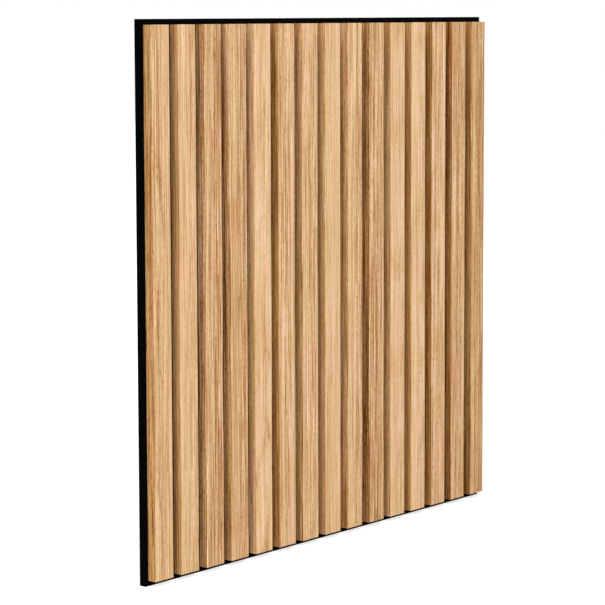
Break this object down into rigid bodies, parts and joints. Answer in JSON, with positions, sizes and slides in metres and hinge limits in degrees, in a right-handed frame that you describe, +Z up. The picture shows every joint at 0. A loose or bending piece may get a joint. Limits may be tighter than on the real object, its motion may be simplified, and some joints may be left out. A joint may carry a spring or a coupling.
{
  "type": "slatted wood wall panel",
  "caption": "Square acoustic wall panel: upright oak slats with open grooves between them on a black felt backing board.",
  "frame": {"origin": "centre of the flat back of the felt board, which lies against the wall", "axes": "+Y points out of the back, into the wall, the slats face -Y, +Z is up along the slats, +X runs across them"},
  "size_m": [0.595, 0.02, 0.595],
  "materials": {
    "felt": "black pressed polyester felt, matt",
    "oak": "light oak with a matt clear coat",
    "steel": "galvanised staple wire"
  },
  "bodies": {
    "root": {"backing_board": "felt", "slat_01": "oak", "slat_02": "oak", "slat_03": "oak", "slat_04": "oak", "slat_05": "oak", "slat_06": "oak", "slat_07": "oak", "slat_08": "oak", "slat_09": "oak", "slat_10": "oak", "slat_11": "oak", "slat_12": "oak", "slat_13": "oak", "slat_14": "oak", "slat_15": "oak", "staples": "steel"}
  },
  "joints": []
}
